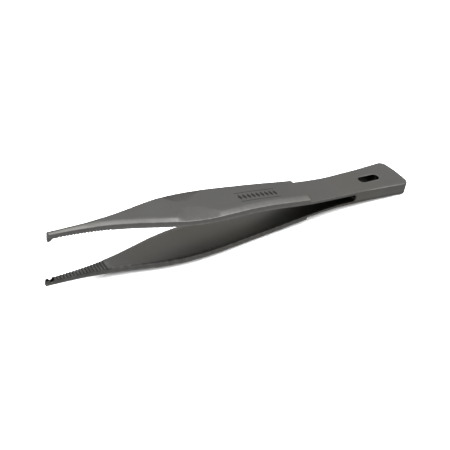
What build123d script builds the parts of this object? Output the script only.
from build123d import *
import os

# Spring tweezers: two flat steel arms joined at the butt by a spacer, with
# broad bevelled blades, fine serrated jaws and one-into-two teeth.
#
# Frame: +X towards the butt, -X towards the tips, +Z towards the upper arm's
# outer face. Origin: the centre of the tool, halfway along it and on the
# middle plane between the two arms. Millimetres, arms open as they rest.

# ---- driving sizes ---------------------------------------------------------
LENGTH = 120.0              # tips to butt end

# Butt: leaf, spacer and leaf, ground flush all round
LEAF_THICKNESS = 0.9        # an arm's thickness at the butt and through the neck
SPACER_THICKNESS = 2.3
SPACER_LENGTH = 21.4        # butt end to the root of the gap, at mid-height
SPACER_HOLLOW = 0.9         # how much the root of the gap is hollowed between the leaves
BUTT_WIDTH = 13.8
BUTT_CORNER = 2.2           # radius of its two corners in plan
BUTT_CROWN = 0.7            # how far its end bulges between them
BUTT_EDGE = 0.25            # rounding of the outer faces' edges

# Hanging slot through the butt
SLOT_LENGTH = 7.8
SLOT_WIDTH = 3.0
SLOT_FROM_BUTT = 12.2       # butt end to the slot's middle

# Neck: the thin springy stretch of each arm
NECK_WIDTH = 10.7
WAIST_FROM_BUTT = 25.0      # where the neck is narrowest
SHOULDER_FROM_BUTT = 40.0   # where the thick blade begins
FLEX_FROM_BUTT = 27.0       # the line about which each arm is taken to bend
FLEX_GAP = 0.1              # clearance between leaf and arm at that line

# Blade: the fingers press on its widest place, the belly
BLADE_THICKNESS = 2.5
BLADE_HOLLOW = 0.03         # its outer face is ground this much lower along the middle
WALL_HEIGHT = 1.6           # upright side wall under the bevel
BEVEL_WIDTH = 1.4           # behind the belly
JAW_BEVEL_WIDTH = 1.05      # along the jaw
BELLY_WIDTH = 13.9
BELLY_FROM_TIP = 45.0
BELLY_OPENING = 9.85        # between the inner faces at the belly

# Jaws
JAW_LENGTH = 20.0           # tip to where the jaw runs out into the blade
JAW_WIDTH = 5.25            # at that place
JAW_OPENING = 12.45         # between the inner faces at that place
TIP_WIDTH = 1.5
TIP_THICKNESS = 1.75
TIP_WALL = 1.3
TIP_FLAT = 0.5              # width of the flat left along the ridge at the tip
TIP_CORNER = 0.5            # radius of the tip's two corners in plan
TIP_OPENING = 13.6          # between the inner faces at the tips

# Serrations across each jaw's inner face
SERRATION_PITCH = 0.9
SERRATION_WIDTH = 0.66
SERRATION_DEPTH = 0.28
SERRATION_START = 3.1       # from the tip
SERRATION_END = 18.0

# One tooth above drops between two teeth below
TOOTH_HEIGHT = 1.15
TOOTH_WIDTH = 0.6
TOOTH_LENGTH = 1.0
TOOTH_BEVEL = 0.35          # slant on the tooth's front corner
TOOTH_HEEL = 2.3            # tip to where the tooth's back has run out
TOOTH_CLEARANCE = 0.12      # round the upper tooth when the arms are closed
NOTCH_FROM_TIP = 1.5        # groove that frees the backs of the two lower teeth
NOTCH_RADIUS = 0.6

# ---- sizes that follow from them -------------------------------------------
TIP_X = -LENGTH / 2
BUTT_X = LENGTH / 2
JAW_X = TIP_X + JAW_LENGTH
BELLY_X = TIP_X + BELLY_FROM_TIP
SHOULDER_X = BUTT_X - SHOULDER_FROM_BUTT
FLEX_X = BUTT_X - FLEX_FROM_BUTT
GAP_ROOT_X = BUTT_X - SPACER_LENGTH
LEAF_INNER = SPACER_THICKNESS / 2
REACH = LENGTH              # longer than anything it cuts or crosses
OVERLAP = 1.0               # how far a fused piece runs into its neighbour


def part_way(start, end, share):
    """The value a given share of the way from start to end."""
    return start + (end - start) * share


def jaw_height(from_tip):
    """Height of a jaw's inner face above the middle plane."""
    return part_way(TIP_OPENING, JAW_OPENING, from_tip / JAW_LENGTH) / 2


# Half of the plan outline: jaw, belly, waist of the neck, flare of the butt
OUTLINE = [
    (TIP_X, TIP_WIDTH / 2),
    (part_way(TIP_X, JAW_X, 0.4), part_way(TIP_WIDTH, JAW_WIDTH, 0.16) / 2),
    (part_way(TIP_X, JAW_X, 0.7), part_way(TIP_WIDTH, JAW_WIDTH, 0.46) / 2),
    (JAW_X, JAW_WIDTH / 2),
    (part_way(JAW_X, BELLY_X, 0.6), part_way(JAW_WIDTH, BELLY_WIDTH, 0.81) / 2),
    (BELLY_X, BELLY_WIDTH / 2),
    (part_way(BELLY_X, SHOULDER_X, 0.4), part_way(BELLY_WIDTH, NECK_WIDTH, 0.5) / 2),
    (SHOULDER_X, part_way(BELLY_WIDTH, NECK_WIDTH, 0.82) / 2),
    (BUTT_X - WAIST_FROM_BUTT, NECK_WIDTH / 2),
    (BUTT_X - SLOT_FROM_BUTT, part_way(NECK_WIDTH, BUTT_WIDTH, 0.44) / 2),
    (BUTT_X - BUTT_CROWN, BUTT_WIDTH / 2),
]

# Inner face of the upper arm, seen from the side: nearly straight along the
# jaw, then bending in past the belly to lie level where it meets the leaf
INNER_FACE = [
    (TIP_X, jaw_height(0)),
    (part_way(TIP_X, JAW_X, 0.5), jaw_height(JAW_LENGTH / 2)),
    (JAW_X, jaw_height(JAW_LENGTH)),
    (part_way(JAW_X, BELLY_X, 0.6), part_way(JAW_OPENING, BELLY_OPENING, 0.5) / 2),
    (BELLY_X, BELLY_OPENING / 2),
    (part_way(BELLY_X, SHOULDER_X, 0.4), part_way(BELLY_OPENING, SPACER_THICKNESS, 0.2) / 2),
    (part_way(BELLY_X, SHOULDER_X, 0.75), part_way(BELLY_OPENING, SPACER_THICKNESS, 0.52) / 2),
    (SHOULDER_X, part_way(BELLY_OPENING, SPACER_THICKNESS, 0.79) / 2),
    (FLEX_X, SPACER_THICKNESS / 2),
]


def curve_height(points):
    """A function giving the height, at any X, of the smooth curve through points."""
    curve = Spline(*points)

    def height(x):
        low = 0.0
        high = 1.0
        for _ in range(40):
            middle = (low + high) / 2
            if (curve @ middle).X < x:
                low = middle
            else:
                high = middle
        return (curve @ low).Y

    return height


half_width = curve_height(OUTLINE)
inner_height = curve_height(INNER_FACE)


def blade_section(x):
    """Corners of the blade's section at x: foot, top of wall, edge and middle of the outer face."""
    share = min(1.0, (x - TIP_X) / (0.7 * JAW_LENGTH))
    foot = inner_height(x)
    wall_top = foot + part_way(TIP_WALL, WALL_HEIGHT, share)
    crest = foot + part_way(TIP_THICKNESS, BLADE_THICKNESS, share)
    behind_jaw = min(1.0, max(0.0, (x - JAW_X) / (BELLY_X - JAW_X)))
    bevel = part_way(JAW_BEVEL_WIDTH, BEVEL_WIDTH, behind_jaw)
    flat = max(TIP_FLAT / 2, half_width(x) - bevel)
    near = [(-half_width(x), foot), (-half_width(x), wall_top), (-flat, crest)]
    far = [(-y, z) for y, z in reversed(near)]
    return near + [(0, crest - BLADE_HOLLOW)] + far


def neck_section(x):
    """Corners of the neck's plain rectangular section at x."""
    foot = inner_height(x)
    crest = foot + LEAF_THICKNESS
    return [
        (-half_width(x), foot),
        (-half_width(x), crest),
        (half_width(x), crest),
        (half_width(x), foot),
    ]


def loft_sections(section, stations):
    """Solid through the sections at the given places along X."""
    with BuildPart() as body:
        for x in stations:
            with BuildSketch(Plane(origin=(x, 0, 0), x_dir=(0, 1, 0), z_dir=(1, 0, 0))):
                Polygon(*section(x), align=None)
        loft()
    return body.part


def arm_blank():
    """An upper arm without its teeth: blade, and neck as far as the flex line."""
    blade_spans = 12
    blade_stations = [part_way(TIP_X, SHOULDER_X, i / blade_spans) for i in range(blade_spans + 1)]
    neck_end = FLEX_X - FLEX_GAP / 2
    neck_stations = [SHOULDER_X - OVERLAP, part_way(SHOULDER_X, neck_end, 0.5), neck_end]
    with BuildPart() as blank:
        add(loft_sections(blade_section, blade_stations))
        add(loft_sections(neck_section, neck_stations))

        # rounded corners at the tip
        with BuildSketch(Plane.XY):
            with Locations((TIP_X, 0)):
                Rectangle(2 * TIP_CORNER, 2 * TIP_WIDTH)
            with Locations((TIP_X + TIP_WIDTH, 0)):
                RectangleRounded(2 * TIP_WIDTH, TIP_WIDTH, TIP_CORNER, mode=Mode.SUBTRACT)
        extrude(amount=REACH, mode=Mode.SUBTRACT)

        # serrations
        count = int((SERRATION_END - SERRATION_START) / SERRATION_PITCH)
        with BuildSketch(Plane.XZ):
            for index in range(count):
                from_tip = SERRATION_START + index * SERRATION_PITCH
                foot = jaw_height(from_tip)
                x = TIP_X + from_tip
                Polygon(
                    (x - SERRATION_WIDTH / 2, foot - SERRATION_DEPTH),
                    (x - SERRATION_WIDTH / 2, foot),
                    (x, foot + SERRATION_DEPTH),
                    (x + SERRATION_WIDTH / 2, foot),
                    (x + SERRATION_WIDTH / 2, foot - SERRATION_DEPTH),
                    align=None,
                )
        extrude(amount=REACH, both=True, mode=Mode.SUBTRACT)
    return blank.part


def butt_plan():
    """Plan of the butt and of the neck behind the flex line."""
    with BuildSketch() as plan:
        with BuildLine():
            Spline(*OUTLINE)
            Spline(*[(x, -y) for x, y in OUTLINE])
            ThreePointArc(
                (BUTT_X - BUTT_CROWN, BUTT_WIDTH / 2),
                (BUTT_X, 0),
                (BUTT_X - BUTT_CROWN, -BUTT_WIDTH / 2),
            )
            Line((TIP_X, TIP_WIDTH / 2), (TIP_X, -TIP_WIDTH / 2))
        make_face()
        fillet(plan.vertices().group_by(Axis.X)[-1], radius=BUTT_CORNER)
        with Locations((FLEX_X + FLEX_GAP / 2, 0)):
            Rectangle(REACH, REACH, align=(Align.MIN, Align.CENTER), mode=Mode.INTERSECT)
        with Locations((BUTT_X - SLOT_FROM_BUTT, 0)):
            SlotOverall(SLOT_LENGTH, SLOT_WIDTH, mode=Mode.SUBTRACT)
    return plan.sketch


BLANK = arm_blank()
BUTT_PLAN = butt_plan()

# ---- spacer between the two leaves, with a hollowed front face ----------------
with BuildPart() as butt_spacer:
    with BuildSketch(Plane.XY.offset(-LEAF_INNER)):
        add(BUTT_PLAN)
    extrude(amount=SPACER_THICKNESS)
    with BuildSketch(Plane.XZ):
        with BuildLine():
            ThreePointArc(
                (GAP_ROOT_X - SPACER_HOLLOW, -LEAF_INNER),
                (GAP_ROOT_X, 0),
                (GAP_ROOT_X - SPACER_HOLLOW, LEAF_INNER),
            )
            Polyline(
                (GAP_ROOT_X - SPACER_HOLLOW, LEAF_INNER),
                (BUTT_X + OVERLAP, LEAF_INNER),
                (BUTT_X + OVERLAP, -LEAF_INNER),
                (GAP_ROOT_X - SPACER_HOLLOW, -LEAF_INNER),
            )
        make_face()
    extrude(amount=REACH, both=True, mode=Mode.INTERSECT)

# ---- the butt end of each arm -------------------------------------------------
with BuildPart() as upper_butt_leaf:
    with BuildSketch(Plane.XY.offset(LEAF_INNER)):
        add(BUTT_PLAN)
    extrude(amount=LEAF_THICKNESS)
    rim = upper_butt_leaf.faces().sort_by(Axis.Z)[-1].outer_wire().edges()
    fillet(rim.sort_by(Axis.X)[1:], radius=BUTT_EDGE)

with BuildPart() as lower_butt_leaf:
    add(upper_butt_leaf.part.mirror(Plane.XY))

# ---- upper arm, with the single tooth ------------------------------------------
with BuildPart() as upper_arm:
    add(BLANK)
    with BuildSketch(Plane.XZ):
        with BuildLine():
            foot = jaw_height(0)
            heel_foot = jaw_height(TOOTH_HEEL)
            point = foot - TOOTH_HEIGHT
            Polyline(
                (TIP_X + TOOTH_HEEL, heel_foot),
                (TIP_X + TOOTH_HEEL, foot + TIP_WALL / 2),
                (TIP_X, foot + TIP_WALL / 2),
                (TIP_X, point + TOOTH_BEVEL),
                (TIP_X + TOOTH_BEVEL, point),
                (TIP_X + TOOTH_LENGTH, point + TOOTH_BEVEL / 3),
            )
            ThreePointArc(
                (TIP_X + TOOTH_LENGTH, point + TOOTH_BEVEL / 3),
                (TIP_X + part_way(TOOTH_LENGTH, TOOTH_HEEL, 0.35), part_way(point, foot, 0.78)),
                (TIP_X + TOOTH_HEEL, heel_foot),
            )
        make_face()
    extrude(amount=TOOTH_WIDTH / 2, both=True)

# ---- lower arm, with two teeth beside a slot for the upper one -------------------
with BuildPart() as lower_arm:
    add(BLANK.mirror(Plane.XY))
    with BuildSketch(Plane.XZ):
        with Locations((TIP_X, -jaw_height(0))):
            Rectangle(
                2 * (TOOTH_HEEL + TOOTH_CLEARANCE),
                2 * (TOOTH_HEIGHT + TOOTH_CLEARANCE),
            )
    extrude(amount=TOOTH_WIDTH / 2 + TOOTH_CLEARANCE, both=True, mode=Mode.SUBTRACT)
    with BuildSketch(Plane.XZ):
        with Locations((TIP_X + NOTCH_FROM_TIP, -jaw_height(NOTCH_FROM_TIP))):
            Circle(NOTCH_RADIUS)
    extrude(amount=REACH, both=True, mode=Mode.SUBTRACT)

# ---- one STEP file for each piece -------------------------------------------------
os.makedirs("parts", exist_ok=True)
PIECES = {
    "butt_spacer": butt_spacer,
    "upper_butt_leaf": upper_butt_leaf,
    "lower_butt_leaf": lower_butt_leaf,
    "upper_arm": upper_arm,
    "lower_arm": lower_arm,
}
for name, piece in PIECES.items():
    piece.part.label = name
    export_step(piece.part, f"parts/{name}.step")
